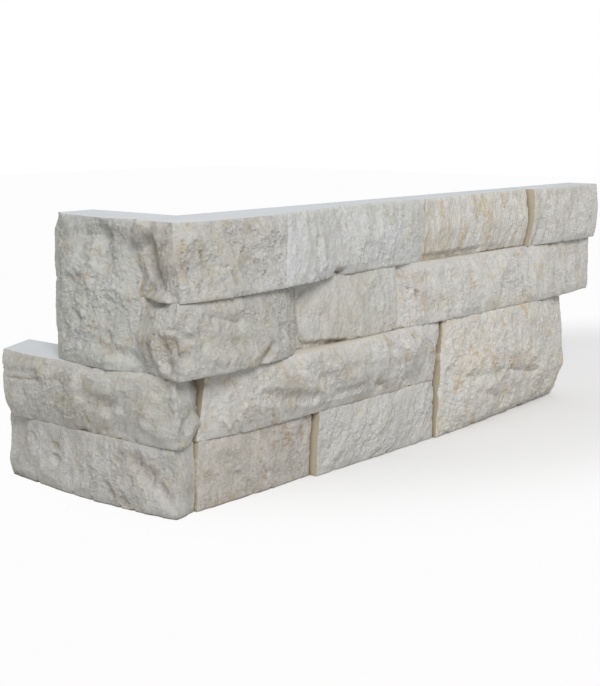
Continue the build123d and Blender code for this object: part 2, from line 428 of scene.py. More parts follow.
def makeRelief():
    tree = bpy.data.node_groups.new("splitRelief", 'GeometryNodeTree')
    tree.interface.new_socket("Geometry", in_out='OUTPUT', socket_type='NodeSocketGeometry')
    tree.interface.new_socket("Geometry", in_out='INPUT', socket_type='NodeSocketGeometry')
    for name, kind in reliefInputs.items():
        tree.interface.new_socket(name, in_out='INPUT', socket_type=kind)
    given = tree.nodes.new("NodeGroupInput").outputs
    place = tree.nodes.new("GeometryNodeInputPosition").outputs[0]
    outward = stored(tree, "outward", 'FLOAT_VECTOR')
    rim = stored(tree, "rim")
    where = grain(tree, place, given["Seed"], given["Lean"], given["Stretch"])
    bend = vectorCalc(tree, 'SCALE', noise(tree, where, relief["bendSize"], 3, out=1), relief["bend"])
    warped = vectorCalc(tree, 'ADD', where, bend)
    fray = vectorCalc(tree, 'SCALE', noise(tree, where, relief["fraySize"], 5, 0.8, out=1), relief["fray"])
    ragged = vectorCalc(tree, 'ADD', where, fray)
    # broad swells, then hollows with sharp brims at three sizes, ridges and crags, then hackly grit
    waves = centred(tree, noise(tree, warped, relief["waveSize"], 5, 0.55))
    scallops = hollows(tree, warped, relief["scallopSize"])
    flakes = hollows(tree, ragged, relief["flakeSize"])
    spalls = hollows(tree, where, relief["spallSize"])
    ridges = calc(tree, 'ABSOLUTE', centred(tree, noise(tree, ragged, relief["ridgeSize"], 6, 0.75)))
    crags = centred(tree, noise(tree, where, relief["cragSize"], 8, 0.9))
    grit = centred(tree, noise(tree, where, relief["gritSize"], 3, 0.8))
    calm = step(tree, noise(tree, where, relief["calmSize"], 2), 0.38, 0.62)
    lively = calc(tree, 'ADD', calc(tree, 'MULTIPLY', calm, relief["livelier"]), relief["calmest"])
    height = calc(tree, 'MULTIPLY', waves, given["Waves"])
    height = calc(tree, 'MULTIPLY_ADD', scallops, given["Scallops"], height)
    lesser = calc(tree, 'MULTIPLY_ADD', spalls, relief["spalls"], flakes)
    lesser = calc(tree, 'MULTIPLY_ADD', ridges, relief["ridges"], lesser)
    lesser = calc(tree, 'MULTIPLY_ADD', crags, relief["crags"], lesser)
    lesser = calc(tree, 'MULTIPLY', lesser, given["Flakes"])
    lesser = calc(tree, 'MULTIPLY_ADD', grit, given["Grit"], lesser)
    height = calc(tree, 'MULTIPLY_ADD', lesser, lively, height)
    # the relief dies down towards the sawn edges, which run true
    steady = step(tree, rim, 0.0, relief["steadyRim"])
    steady = calc(tree, 'MULTIPLY_ADD', steady, relief["steadier"], relief["steadiest"])
    height = calc(tree, 'MULTIPLY', height, calc(tree, 'MULTIPLY', stored(tree, "rough"), steady))
    # an edge is rubbed a little all along, and chipped here and there
    rubbed = remains(tree, step(tree, rim, 0.0, relief["rubRim"]))
    chipAt = step(tree, noise(tree, where, relief["chipSize"], 3, 0.6), 0.52, 0.7)
    chipped = calc(tree, 'MULTIPLY', chipAt, remains(tree, step(tree, rim, 0.3, relief["chipRim"])))
    height = calc(tree, 'MULTIPLY_ADD', chipped, calc(tree, 'MULTIPLY', given["Chips"], -1.0), height)
    height = calc(tree, 'MULTIPLY_ADD', rubbed, relief["rub"], height)
    # no crest passes the outermost face of the whole piece
    height = calc(tree, 'SMOOTH_MIN', height, stored(tree, "room"), relief["brake"])
    moved = vectorCalc(tree, 'SCALE', outward, calc(tree, 'MULTIPLY', height, mm))
    shaped = addNode(tree, "GeometryNodeSetPosition", {"Geometry": given["Geometry"], "Offset": moved})
    # what stands out from its surroundings is kept for the colours
    after = tree.nodes.new("GeometryNodeInputPosition").outputs[0]
    level = calc(tree, 'DIVIDE', vectorCalc(tree, 'DOT_PRODUCT', after, outward), mm)
    geometry = shaped.outputs[0]
    for name, rounds in standOut.items():
        blurred = addNode(tree, "GeometryNodeBlurAttribute", {"Value": level, "Iterations": rounds},
                          data_type='FLOAT').outputs[0]
        kept = addNode(tree, "GeometryNodeStoreNamedAttribute", {"Geometry": geometry, "Name": name,
                       "Value": calc(tree, 'SUBTRACT', level, blurred)}, data_type='FLOAT', domain='POINT')
        geometry = kept.outputs[0]
    tree.links.new(geometry, tree.nodes.new("NodeGroupOutput").inputs[0])
    return tree


# Materials

def fromScreen(red, green, blue):
    # a colour as a screen shows it, 0 to 255, in the linear values that shaders take
    return tuple((value / 255 / 12.92 if value < 11 else ((value / 255 + 0.055) / 1.055) ** 2.4)
                 for value in (red, green, blue)) + (1,)


def newMaterial(name, looks):
    material = bpy.data.materials.new(name)
    material.use_nodes = True
    shader = material.node_tree.nodes["Principled BSDF"]
    shader.inputs["Roughness"].default_value = looks["roughness"]
    shader.inputs["Specular IOR Level"].default_value = looks["shine"]
    return material, material.node_tree, shader


def ownPlace(tree):
    return tree.nodes.new("ShaderNodeTexCoord").outputs["Object"]


def mixColour(tree, share, first, second, kind='MIX'):
    return addNode(tree, "ShaderNodeMix", {0: share, 6: first, 7: second}, data_type='RGBA',
                   blend_type=kind).outputs[2]


def lay(tree, under, share, strength, colour):
    return mixColour(tree, calc(tree, 'MULTIPLY', share, strength), under, fromScreen(*colour))


def mark(tree, name):
    return addNode(tree, "ShaderNodeAttribute", attribute_name=name).outputs["Fac"]


def addBump(tree, shader, height, looks):
    bump = addNode(tree, "ShaderNodeBump", {"Strength": looks["bump"], "Distance": looks["bumpHeight"] * mm,
                   "Height": height})
    tree.links.new(bump.outputs[0], shader.inputs["Normal"])


# dust and painted shade, deep in the open joints and in the crevices of the broken face
jointDustAndShade = {
    "reach": 6,  # mm
    "darkest": 0.08,  # share of open sky, where the shade is full and where it ends
    "lightest": 0.42,
    "strength": 0.85,
    "colour": (112, 98, 78),
}


def paintJointDustAndShade(tree, colour):
    sky = addNode(tree, "ShaderNodeAmbientOcclusion", {"Distance": jointDustAndShade["reach"] * mm}, samples=6)
    # painted shade: the colour turns dark brown where the ambient occlusion finds little open sky
    shade = remains(tree, step(tree, sky.outputs["AO"], jointDustAndShade["darkest"], jointDustAndShade["lightest"]))
    return lay(tree, colour, shade, jointDustAndShade["strength"], jointDustAndShade["colour"])


# the broken face: crests pale, partly bruising and partly painted highlight; hollows and cracks darker and
# browner, partly dirt and partly painted shade; all drawn from the stored relief
splitLooks = {
    "roughness": 0.88,
    "shine": 0.25,
    "driftSize": 24,  # mm, as every size here
    "blotchSize": 9,
    "stainSize": 4,
    "speckSize": 1.5,
    "grainSize": 1.2,
    "dustSize": 0.5,
    "paler": 0.75,
    # strengths of the painted shade with some dirt in hollows and cracks, and of the painted highlight with
    # some bruising on crests
    "hollowDirtAndShade": 0.4,
    "crackDirtAndShade": 0.4,
    "crest": 0.4,
    "stain": 0.75,
    "darkSpeck": 0.8,
    "paleSpeck": 1.16,
    "dust": 0.5,  # share of the grain's height
    "bump": 0.9,
    "bumpHeight": 0.9,  # mm
}


def makeSplit(node, stone):
    looks, colours = splitLooks, stone["colours"]
    material, tree, shader = newMaterial(node + "_split", looks)
    place = ownPlace(tree)
    where = grain(tree, place, stone["grain"]["seed"], stone["grain"]["lean"], stone["grain"]["stretch"])
    drift = step(tree, noise(tree, where, looks["driftSize"], 5, 0.6), 0.35, 0.65)
    colour = mixColour(tree, drift, fromScreen(*colours["face"]), fromScreen(*colours["drift"]))
    blotch = step(tree, noise(tree, where, looks["blotchSize"], 6, 0.7), 0.5, 0.68)
    colour = lay(tree, colour, blotch, colours["blotched"], colours["blotch"])
    if "paler" in colours:
        paler, start, end = colours["paler"]
        turning = step(tree, axes(tree, place)[0], start * mm, end * mm)
        colour = lay(tree, colour, turning, looks["paler"], paler)
    # painted shade with some dirt: the broad hollows darker and browner
    hollowDirtAndShade = step(tree, calc(tree, 'MULTIPLY', mark(tree, "swell"), -1.0), 0.1, 1.5)
    colour = lay(tree, colour, hollowDirtAndShade, looks["hollowDirtAndShade"], colours["hollowDirtAndShade"])
    # painted shade with some dirt: the fine cracks darker and browner
    crackDirtAndShade = step(tree, calc(tree, 'MULTIPLY', mark(tree, "crest"), -1.0), 0.03, 0.24)
    colour = lay(tree, colour, crackDirtAndShade, looks["crackDirtAndShade"], colours["hollowDirtAndShade"])
    # painted highlight with some pale bruising: the crests paler
    crest = step(tree, mark(tree, "crest"), 0.03, 0.22)
    colour = lay(tree, colour, crest, looks["crest"], colours["crest"])
    patchy = step(tree, noise(tree, where, looks["stainSize"], 4, 0.7), 0.25, 0.75)
    soiled = calc(tree, 'MULTIPLY', mark(tree, "stain"), patchy)
    colour = lay(tree, colour, soiled, looks["stain"], colours["stain"])
    speck = addNode(tree, "ShaderNodeMapRange", {"Value": noise(tree, where, looks["speckSize"], 4, 0.85),
                    "From Min": 0.2, "From Max": 0.8, "To Min": looks["darkSpeck"],
                    "To Max": looks["paleSpeck"]}).outputs[0]
    specks = addNode(tree, "ShaderNodeCombineXYZ", {0: speck, 1: speck, 2: speck}).outputs[0]
    colour = mixColour(tree, 1.0, colour, specks, 'MULTIPLY')
    # dust and painted shade in the joints and crevices go over the colour
    tree.links.new(paintJointDustAndShade(tree, colour), shader.inputs["Base Color"])
    height = calc(tree, 'MULTIPLY_ADD', noise(tree, where, looks["dustSize"], 2, 0.8), looks["dust"],
                  noise(tree, where, looks["grainSize"], 3, 0.8))
    addBump(tree, shader, height, looks)
    return material


# sawn beds and ends: pale, with the faint sweep of the blade; the ends warmer and darker, partly where glue
# and dust have stayed and partly painted shade of the joints they stand in; the seen tops with a bluish tint
# of painted sky light
sawnLooks = {
    "roughness": 0.7,
    "shine": 0.3,
    # the pale bed's bluish tint is painted sky light on the tops that are seen
    "beds": {"sawnPaleSkyLit": (208, 212, 215), "sawnCream": (206, 200, 188)},
    "bedCloud": 10,  # how much darker a cloud is on a bed
    # the sawn ends: warmer for glue and dust, and darker as painted shade of the joints
    "sawnEndGlueAndShade": (192, 182, 162),
    "sawnEndGlueAndShadeCloud": (172, 160, 138),
    "cloudSize": 18,  # mm
    "toothSize": 0.8,
    "teeth": 0.8,  # shares of the height
    "sweeps": 0.3,
    "bump": 0.4,
    "bumpHeight": 0.3,  # mm
}


def makeSawn(name):
    looks, bedColour = sawnLooks, sawnLooks["beds"][name]
    material, tree, shader = newMaterial(name, looks)
    place = vectorCalc(tree, 'SCALE', ownPlace(tree), 1 / mm)
    facing = axes(tree, tree.nodes.new("ShaderNodeNewGeometry").outputs["True Normal"])
    onBed = calc(tree, 'GREATER_THAN', calc(tree, 'ABSOLUTE', facing[2]), 0.7)
    # the sawn backs lie in the two planes through the foot of the inside corner
    spot = axes(tree, place)
    toBack = calc(tree, 'MINIMUM', calc(tree, 'ABSOLUTE', spot[0]), calc(tree, 'ABSOLUTE', spot[1]))
    facesBack = calc(tree, 'GREATER_THAN', calc(tree, 'MAXIMUM', facing[0], facing[1]), 0.9)
    onBack = calc(tree, 'MULTIPLY', calc(tree, 'LESS_THAN', toBack, 0.05), facesBack)
    cloud = noise(tree, place, looks["cloudSize"], 4, 0.6)
    bedCloud = [value - looks["bedCloud"] for value in bedColour]
    bed = mixColour(tree, cloud, fromScreen(*bedColour), fromScreen(*bedCloud))
    # painted shade with glue and dust: the sawn ends darker and warmer than the beds
    sawnEndGlueAndShade = mixColour(tree, cloud, fromScreen(*looks["sawnEndGlueAndShade"]), fromScreen(*looks["sawnEndGlueAndShadeCloud"]))
    colour = mixColour(tree, calc(tree, 'MAXIMUM', onBed, onBack), sawnEndGlueAndShade, bed)
    # dust and painted shade in the joints go over the colour
    tree.links.new(paintJointDustAndShade(tree, colour), shader.inputs["Base Color"])
    sweep = addNode(tree, "ShaderNodeTexWave", {"Vector": place, "Scale": 0.25, "Distortion": 1.5,
                    "Detail": 2.0, "Detail Scale": 0.4}, bands_direction='DIAGONAL').outputs["Fac"]
    height = calc(tree, 'MULTIPLY_ADD', noise(tree, place, looks["toothSize"], 3, 0.7), looks["teeth"],
                  calc(tree, 'MULTIPLY', sweep, looks["sweeps"]))
    addBump(tree, shader, height, looks)
    return material


# white paper that keeps the shadow near the stones and runs out to plain white
paperLooks = {
    "roughness": 0.9,
    "shine": 0.1,
    "asLight": (0.55, 0.55, 0.55, 1),  # what it throws back on the stones
    "seen": (0.9, 0.9, 0.9, 1),
    "middle": (0.17, 0.02, 0),  # m; the shadow is kept in an oval round this place
    "oval": (0.30, 0.17, 1),
    "fadeStart": 0.7,
    "fadeEnd": 1.4,
    "white": 0.98,
}


def makePaper():
    looks = paperLooks
    material, tree, shader = newMaterial("paper", looks)
    seen = tree.nodes.new("ShaderNodeLightPath").outputs["Is Camera Ray"]
    tree.links.new(mixColour(tree, seen, looks["asLight"], looks["seen"]), shader.inputs["Base Color"])
    away = vectorCalc(tree, 'SUBTRACT', ownPlace(tree), looks["middle"])
    away = vectorCalc(tree, 'DIVIDE', away, looks["oval"])
    reach = addNode(tree, "ShaderNodeVectorMath", {0: away}, operation='LENGTH').outputs["Value"]
    plain = calc(tree, 'MULTIPLY', step(tree, reach, looks["fadeStart"], looks["fadeEnd"]), seen)
    glow = addNode(tree, "ShaderNodeEmission", {"Color": (1, 1, 1, 1), "Strength": looks["white"]}).outputs[0]
    mixed = addNode(tree, "ShaderNodeMixShader", {0: plain, 1: shader.outputs[0], 2: glow}).outputs[0]
    tree.links.new(mixed, tree.nodes["Material Output"].inputs["Surface"])
    return material


# The stones. A row of a face gives its height as a share of the stone, how far the near and the far end
# fall back along the leg, and how far the face stands from the back plane, at evenly spaced places, in mm.
# A step of a turn gives the share of the depth that is left and the fall along the leg. A stain gives the two
# ends of its middle, its reach and its strength; paler gives a colour and the X where it starts and is full.

stoneValues = {
    "bottom_return_strip": {
        "leg": "short", "turn": ((0.5, 1.2), (0, 3.8)), "turnedRough": 0.5,
        "face": [
            (0.0, 3.5, 0, (14.3, 18, 19, 18.6, 16, 12.5)),
            (0.08, 1, 0, (16.5, 19.2, 20.2, 19.8, 18.2, 15.8)),
            (0.3, 1, 0, (15.2, 19.6, 21, 20.6, 19.4, 16.5)),
            (0.6, 1, 0, (13.6, 19.8, 21.5, 21.1, 19.7, 15.2)),
            (0.8, 1, 0, (15.5, 20.3, 21.4, 21.2, 20, 15.5)),
            (1.0, 2, 0, (18, 21.6, 22.2, 21.8, 20.4, 15)),
        ],
        "grain": {"seed": (11, 4, 7), "lean": -0.4, "stretch": 0.6},
        "relief": {"Waves": 4.6, "Scallops": 3, "Flakes": 1.7, "Grit": 1.4, "Chips": 1.4},
        "colours": {
            "face": (199, 198, 195), "drift": (188, 186, 180), "blotch": (190, 181, 160), "blotched": 0.52,
            "hollowDirtAndShade": (140, 130, 110), "crest": (229, 229, 229), "stain": (150, 130, 100),
        },
        "stains": [
            ((12.7, 27.8), (-9.1, 15.4), 9, 0.7),
            ((76, 24.5), (74, 24), 2.5, 0.8),
            ((30, 8), (22, 4), 5, 0.6),
        ],
        "dents": [
            ((75.7, 24.5), (74.0, 24.3), 3, 1.2, 'SPHERE'),
            ((76.3, 17.2), (74.5, 17.0), 3, 1.2, 'SPHERE'),
            ((95.7, 27.0), (93.7, 26.8), 3, 1.2, 'SPHERE'),
            ((33.3, 10.6), (30.0, 7.9), 4, 1.4, 'SMOOTH'),
            ((22.5, 4.4), (21.2, 3.6), 3, 1.2, 'SPHERE'),
            ((11.2, 26.9), (4.2, 18.6), 8, 1.5, 'SMOOTH'),
            ((-1.9, 14.4), (-7.1, 10.1), 5, 1.5, 'SMOOTH'),
        ],
    },
    "second_return_strip": {
        "leg": "short", "turn": ((0.5, 4), (0, 12)),
        "face": [
            (0.0, 6.5, 13, (18, 20.3, 20.8, 20.6, 20.2, 22)),
            (0.12, 5.8, 13, (21, 23.2, 24, 24, 23.8, 26)),
            (0.35, 4.8, 13, (23, 26, 27.3, 27.4, 27.6, 28.9)),
            (0.65, 1, 13, (25.5, 29, 30, 30.4, 30, 29.2)),
            (0.85, 2.6, 13, (26, 29.8, 30.8, 31.2, 31.1, 29.2)),
            (1.0, 3.2, 13, (24.5, 26.5, 29.5, 29.8, 30.7, 27.2)),
        ],
        "grain": {"seed": (31, 14, 2), "lean": -0.7, "stretch": 0.5},
        "relief": {"Waves": 5.2, "Scallops": 3.2, "Flakes": 1.8, "Grit": 1.4, "Chips": 1.5},
        "colours": {
            "face": (200, 199, 194), "drift": (190, 188, 178), "blotch": (190, 179, 156), "blotched": 0.52,
            "hollowDirtAndShade": (142, 130, 109), "crest": (228, 228, 224), "stain": (150, 130, 100),
        },
        "stains": [
            ((94.5, 60.9), (76, 62.4), 3, 0.6),
            ((38.9, 59.1), (26, 55.5), 6, 0.5),
            ((2, 62), (-6, 50), 5, 0.5),
        ],
        "turnedDents": [
            ((-2, 47), (-6, 47), 10, -5.0, 'SMOOTH'),
            ((-2, 40), (-6, 40), 5, -1.0, 'SMOOTH'),
            ((-2, 70), (-8, 70), 7, 1.5, 'SMOOTH'),
            ((-22, 52), (-26, 44), 6, -1.8, 'SHARP'),
        ],
        "dents": [
            ((100.9, 60.0), (75.7, 62.5), 2.5, 1.6, 'SHARP'),
            ((98.7, 63.6), (76.8, 65.6), 4, 1.2, 'SMOOTH'),
            ((65.5, 73.3), (71.7, 65.7), 3, -1.2, 'SHARP'),
            ((43.7, 65.4), (60.3, 48.8), 6, -1.8, 'SMOOTH'),
            ((38.3, 58.7), (26.0, 55.7), 8, 2.2, 'SMOOTH'),
            ((4.1, 67.6), (13.6, 54.9), 6, 1.5, 'SMOOTH'),
            ((-7.9, 63.1), (-0.8, 49.0), 5, -1.5, 'SMOOTH'),
        ],
    },
    "tall_return_block": {
        "leg": "short", "joined": True,
        "face": [
            (0.0, 0, 0, (22.8, 27.5, 30.5, 30, 29.3, 28.5, 25.5)),
            (0.06, 0, 0, (23.3, 28, 31.5, 31.2, 30.5, 29.5, 26)),
            (0.25, 0, 0, (26.3, 29, 30.5, 31.5, 31.4, 30, 26.5)),
            (0.47, 0, 0, (26, 28.5, 31.3, 31.9, 31.4, 30, 26.3)),
            (0.5, 0, 0, (25, 28.5, 31.5, 32, 31.4, 30, 26.3)),
            (0.66, 0, 0, (21.5, 27.5, 28.5, 30, 31.2, 30, 26)),
            (0.78, 0, 0, (22, 27.6, 28, 29.6, 31, 30, 25.9)),
            (0.88, 0, 0, (26, 28.3, 27.3, 28.5, 30.5, 30, 25)),
            (0.95, 0, 0, (27, 31, 31.5, 30.2, 30.6, 30.2, 22.5)),
            (1.0, 0, 0, (28, 33.5, 34.5, 31.4, 29, 31, 21.5)),
        ],
        "grain": {"seed": (3, 41, 12), "lean": -0.5, "stretch": 0.5},
        "relief": {"Waves": 5.8, "Scallops": 3.5, "Flakes": 2.1, "Grit": 1.8, "Chips": 1.2},
        "colours": {
            "face": (194, 195, 192), "drift": (188, 188, 182), "blotch": (183, 172, 152), "blotched": 0.52,
            "hollowDirtAndShade": (138, 131, 114), "crest": (219, 222, 219), "stain": (150, 130, 100),
        },
        "stains": [
            ((39.7, 119.1), (45.6, 118.6), 3, 0.8),
            ((39.5, 99.1), (38.5, 98.7), 2.5, 0.8),
            ((20, 91.6), (19.5, 91), 2.5, 0.8),
            ((25.3, 88.5), (16.5, 84.4), 4, 0.7),
            ((18, 143), (20, 128), 5, 0.25),
        ],
        "dents": [
            ((20.4, 144.5), (20.9, 127.7), 8, 2.2, 'SMOOTH'),
            ((27.6, 136.6), (29.6, 126.7), 4, -1.6, 'SHARP'),
            ((13.8, 117.6), (17.5, 113.0), 4, -1.4, 'SHARP'),
            ((45.6, 118.6), (39.6, 119.1), 3.5, 1.6, 'SMOOTH'),
            ((39.2, 99.6), (38.5, 98.7), 3, 1.4, 'SPHERE'),
            ((20.6, 92.0), (19.5, 91.1), 4, 1.6, 'SMOOTH'),
            ((25.2, 87.6), (16.8, 84.8), 6, 1.8, 'SMOOTH'),
            ((11.3, 83.7), (4.2, 81.9), 5, 1.8, 'SMOOTH'),
            ((52.8, 136.5), (41.1, 141.3), 4, 1.2, 'SMOOTH'),
            ((51.9, 90.9), (41.7, 98.4), 5, 1.2, 'SMOOTH'),
        ],
    },
    "bottom_near_strip": {
        "leg": "long",
        "face": [
            (0.0, 1.6, 1.2, (9.9, 10.3, 10.6, 9.9)),
            (0.15, 1.6, 1.2, (9.8, 11.6, 11.9, 10.1)),
            (0.4, 1.6, 1.2, (9.7, 13.5, 13.8, 10.6)),
            (0.65, 1.6, 1.2, (10, 14.8, 15, 11.2)),
            (0.85, 1.6, 1.2, (11, 15.2, 15.3, 12)),
            (1.0, 1.6, 1.2, (11.6, 14.9, 15, 12.6)),
        ],
        "grain": {"seed": (23, 9, 33), "lean": -0.4, "stretch": 0.5},
        "relief": {"Waves": 3.4, "Scallops": 2, "Flakes": 1.9, "Grit": 1.7, "Chips": 1.2},
        "colours": {
            "face": (187, 183, 174), "drift": (196, 191, 184), "blotch": (171, 154, 126), "blotched": 0.72,
            "hollowDirtAndShade": (142, 129, 110), "crest": (212, 212, 211), "stain": (150, 130, 100),
        },
        "stains": [
            ((80, 27), (82.4, 24.7), 3, 0.9),
            ((21.8, 26.5), (68.5, 25.5), 8, 0.3),
        ],
        "dents": [
            ((45.3, 17.5), (51.6, 10.5), 2.5, 1.3, 'SHARP'),
            ((54.7, 10.9), (59.8, 6.3), 2.5, 1.2, 'SHARP'),
            ((28.2, 14.1), (29.8, 12.6), 2.5, 1.2, 'SPHERE'),
            ((79.3, 28.2), (82.5, 24.1), 4, 2.2, 'SMOOTH'),
        ],
    },
    "bottom_far_strip": {
        "leg": "long",
        "face": [
            (0.0, 0, 2, (14.5, 14, 14.6, 15, 14.8)),
            (0.15, 0, 2, (15, 15.8, 16.3, 16.2, 15)),
            (0.45, 0, 2, (15.5, 17.4, 18, 17.4, 15.2)),
            (0.75, 0, 2, (16.3, 17.3, 17.9, 17.2, 15.2)),
            (1.0, 0, 2, (16.8, 15.8, 15.7, 15.5, 15)),
        ],
        "grain": {"seed": (7, 29, 18), "lean": 0.4, "stretch": 0.5},
        "relief": {"Waves": 3.4, "Scallops": 1.8, "Flakes": 1.6, "Grit": 1.9, "Chips": 1.2},
        "colours": {
            "face": (203, 201, 197), "drift": (193, 192, 188), "blotch": (185, 175, 153), "blotched": 0.37,
            "hollowDirtAndShade": (150, 137, 115), "crest": (223, 223, 221), "stain": (150, 130, 100),
        },
        "stains": [],
        "dents": [],
    },
    "tall_end_block": {
        "leg": "long",
        "face": [
            (0.0, 0, 0, (16.5, 14.7, 12.2, 10, 8, 5.5)),
            (0.07, 0, 0, (16.6, 17, 15.5, 14.1, 12.6, 10)),
            (0.2, 0, 0, (16.9, 19.8, 18.6, 17.5, 16.7, 12)),
            (0.32, 0, 0, (17.5, 21.8, 21.3, 20.4, 19.7, 16.4)),
            (0.6, 0, 0, (18.8, 24, 25.2, 24.4, 21.5, 14.2)),
            (0.85, 0, 0, (19.5, 24, 25.4, 24.6, 21, 12.2)),
            (1.0, 0, 0, (19.6, 22.8, 24, 23.4, 19.5, 10.8)),
        ],
        "grain": {"seed": (17, 3, 26), "lean": -0.2, "stretch": 0.6},
        "relief": {"Waves": 5.2, "Scallops": 3, "Flakes": 2, "Grit": 1.9, "Chips": 1.5},
        "colours": {
            "face": (215, 212, 204), "drift": (209, 207, 201), "blotch": (199, 171, 119), "blotched": 0.57,
            "hollowDirtAndShade": (154, 142, 121), "crest": (228, 229, 229), "stain": (190, 148, 92),
        },
        "stains": [
            ((236.4, 62.3), (238.5, 59.5), 2, 1),
            ((251.1, 50.7), (261, 36.1), 3, 0.8),
            ((232, 56), (240, 48), 3, 0.6),
            ((268, 44), (295, 36), 6, 0.45),
            ((222, 70), (226, 40), 3, 0.4),
        ],
        "dents": [
            ((283.0, 32.7), (320.7, 25.2), 6, 2.2, 'SHARP'),
            ((255, 22.0), (273.0, 15.2), 6, 1.3, 'SHARP'),
            ((233.7, 34.9), (268.8, 32.2), 6, 1.8, 'SMOOTH'),
            ((218.7, 58.0), (224.7, 47.8), 5, 1.2, 'SMOOTH'),
        ],
    },
    "second_near_strip": {
        "leg": "long",
        "face": [
            (0.0, 0, 2, (11.6, 16, 16.2, 15.8, 15.6, 15.3, 14.8)),
            (0.2, 0, 2, (13.2, 20.4, 21.4, 20.8, 20.6, 19.2, 15.6)),
            (0.4, 0, 2, (14.4, 23.2, 24.8, 24.4, 24.5, 22.7, 16.6)),
            (0.65, 0, 2, (16.3, 25.6, 27.8, 27.4, 27.5, 25.6, 17.6)),
            (0.88, 0, 2, (17.8, 26, 28.4, 27.4, 25.8, 23.2, 18.3)),
            (1.0, 0, 2, (18.3, 24.6, 27.2, 25, 22.2, 20.5, 18.3)),
        ],
        "grain": {"seed": (37, 22, 5), "lean": -0.5, "stretch": 0.5},
        "relief": {"Waves": 5.8, "Scallops": 3.5, "Flakes": 1.9, "Grit": 1.5, "Chips": 1.4},
        "colours": {
            "face": (212, 210, 206), "drift": (200, 198, 191), "blotch": (185, 168, 138), "blotched": 0.57,
            "hollowDirtAndShade": (144, 126, 100), "crest": (228, 229, 229), "stain": (150, 130, 100),
        },
        "stains": [
            ((39.5, 55), (82.2, 51.1), 8, 0.45),
            ((84.7, 54.8), (108.3, 62.5), 6, 0.3),
            ((145, 45), (150, 42), 3, 1),
        ],
        "dents": [
            ((24.7, 52.4), (30.1, 45.0), 3, -1.6, 'SHARP'),
            ((8.5, 49.8), (17.9, 41.9), 3, -1.2, 'SHARP'),
            ((37.6, 56.4), (79.5, 48.4), 6, 2.0, 'SMOOTH'),
            ((82.4, 58.1), (108.6, 60.8), 6, 1.3, 'SMOOTH'),
            ((137.3, 46.7), (145, 43.6), 4, 2.4, 'SHARP'),
            ((138.5, 66.7), (156.0, 57.0), 3.5, -1.6, 'SHARP'),
            ((100.2, 46.4), (119.4, 47.3), 5, 1.6, 'SMOOTH'),
        ],
    },
    "third_corner_strip": {
        "leg": "long", "turn": ((0.5, 2), (0, 6)),
        "face": [
            (0.0, 5.1, 0, (30, 31.3, 31.5, 30.7, 29, 17.5)),
            (0.15, 4.5, 0, (31, 33, 33.1, 32.2, 30, 18)),
            (0.5, 0.9, 0, (32, 34.5, 34.2, 33, 30, 18.6)),
            (0.85, 2.5, 0, (32, 34, 33.7, 32.4, 28.8, 17)),
            (1.0, 3, 0, (31.5, 33, 32.7, 31.2, 27, 16)),
        ],
        "grain": {"seed": (3, 41, 12), "lean": -0.5, "stretch": 0.5},
        "relief": {"Waves": 5.8, "Scallops": 3.5, "Flakes": 2.1, "Grit": 1.8, "Chips": 1.2},
        "colours": {
            "face": (195, 194, 187), "drift": (189, 187, 181), "blotch": (176, 165, 140), "blotched": 0.52,
            "hollowDirtAndShade": (145, 134, 111), "crest": (218, 218, 215), "stain": (150, 130, 100),
        },
        "stains": [
            ((-36, 98), (-27.5, 90.5), 4, 0.8),
            ((32.4, 84.6), (18.1, 75.4), 3.5, 0.9),
            ((0, 95), (10, 86), 6, 0.35),
        ],
        "dents": [
            ((-32, 99), (-29.5, 95), 6, 4.5, 'SMOOTH'),
            ((-31, 93), (-27, 86), 4, 4.5, 'SHARP'),
            ((-31.2, 106.1), (-26.5, 98.4), 3, -1.6, 'SHARP'),
            ((-25.3, 98.8), (-19.6, 92.4), 4, -1.8, 'SHARP'),
            ((35.5, 82.7), (27.3, 74.1), 5, 4.0, 'SHARP'),
            ((-10, 104), (8, 99), 6, 2.2, 'SHARP'),
            ((12, 108), (30, 96), 7, 1.8, 'SHARP'),
            ((47.1, 83.5), (61.6, 74.3), 7, -2.0, 'SMOOTH'),
            ((-2.7, 97.0), (6.1, 88.2), 6, 1.8, 'SMOOTH'),
            ((-12.5, 87.5), (-2.4, 82.0), 5, -1.5, 'SMOOTH'),
        ],
        "turnedDents": [
            ((-20, 112), (-5, 112), 6, 3, 'SMOOTH'),
            ((-33, 99), (-31, 94), 6, 3.5, 'SMOOTH'),
            ((-25.4, 98), (-23, 98), 3, -1.6, 'SMOOTH'),
            ((-15, 92), (-16, 82), 6, -2, 'SMOOTH'),
            ((-24, 90), (-22, 84), 5, 2, 'SMOOTH'),
            ((-24, 77), (-18, 78), 4, -1.5, 'SMOOTH'),
        ],
    },
    "third_middle_strip": {
        "leg": "long",
        "face": [
            (0.0, 0, 0, (16.5, 20, 21, 19.5)),
            (0.15, 0, 0, (19, 20.8, 21.4, 19.5)),
            (0.5, 0, 0, (19.5, 21.2, 21.6, 19.6)),
            (0.85, 0, 0, (18, 20.2, 20.8, 18.6)),
            (1.0, 0, 0, (17, 19.2, 19.8, 17.8)),
        ],
        "grain": {"seed": (27, 35, 8), "lean": -0.2, "stretch": 0.6},
        "relief": {"Waves": 3, "Scallops": 2.2, "Flakes": 1.4, "Grit": 1.4, "Chips": 1.0},
        "colours": {
            "face": (200, 199, 193), "drift": (194, 191, 182), "blotch": (181, 172, 153), "blotched": 0.42,
            "hollowDirtAndShade": (147, 135, 115), "crest": (218, 219, 222), "stain": (150, 130, 100),
        },
        "stains": [
            ((70.9, 99.4), (67.4, 79), 2.5, 0.8),
            ((73.3, 76), (112, 74), 2, 0.5),
            ((90, 98), (110, 88), 12, 0.25),
        ],
        "dents": [
            ((75.0, 105.8), (68.8, 100.7), 2.5, 2.2, 'SHARP'),
            ((67.9, 99.7), (67.5, 85.3), 2.5, 2.4, 'SHARP'),
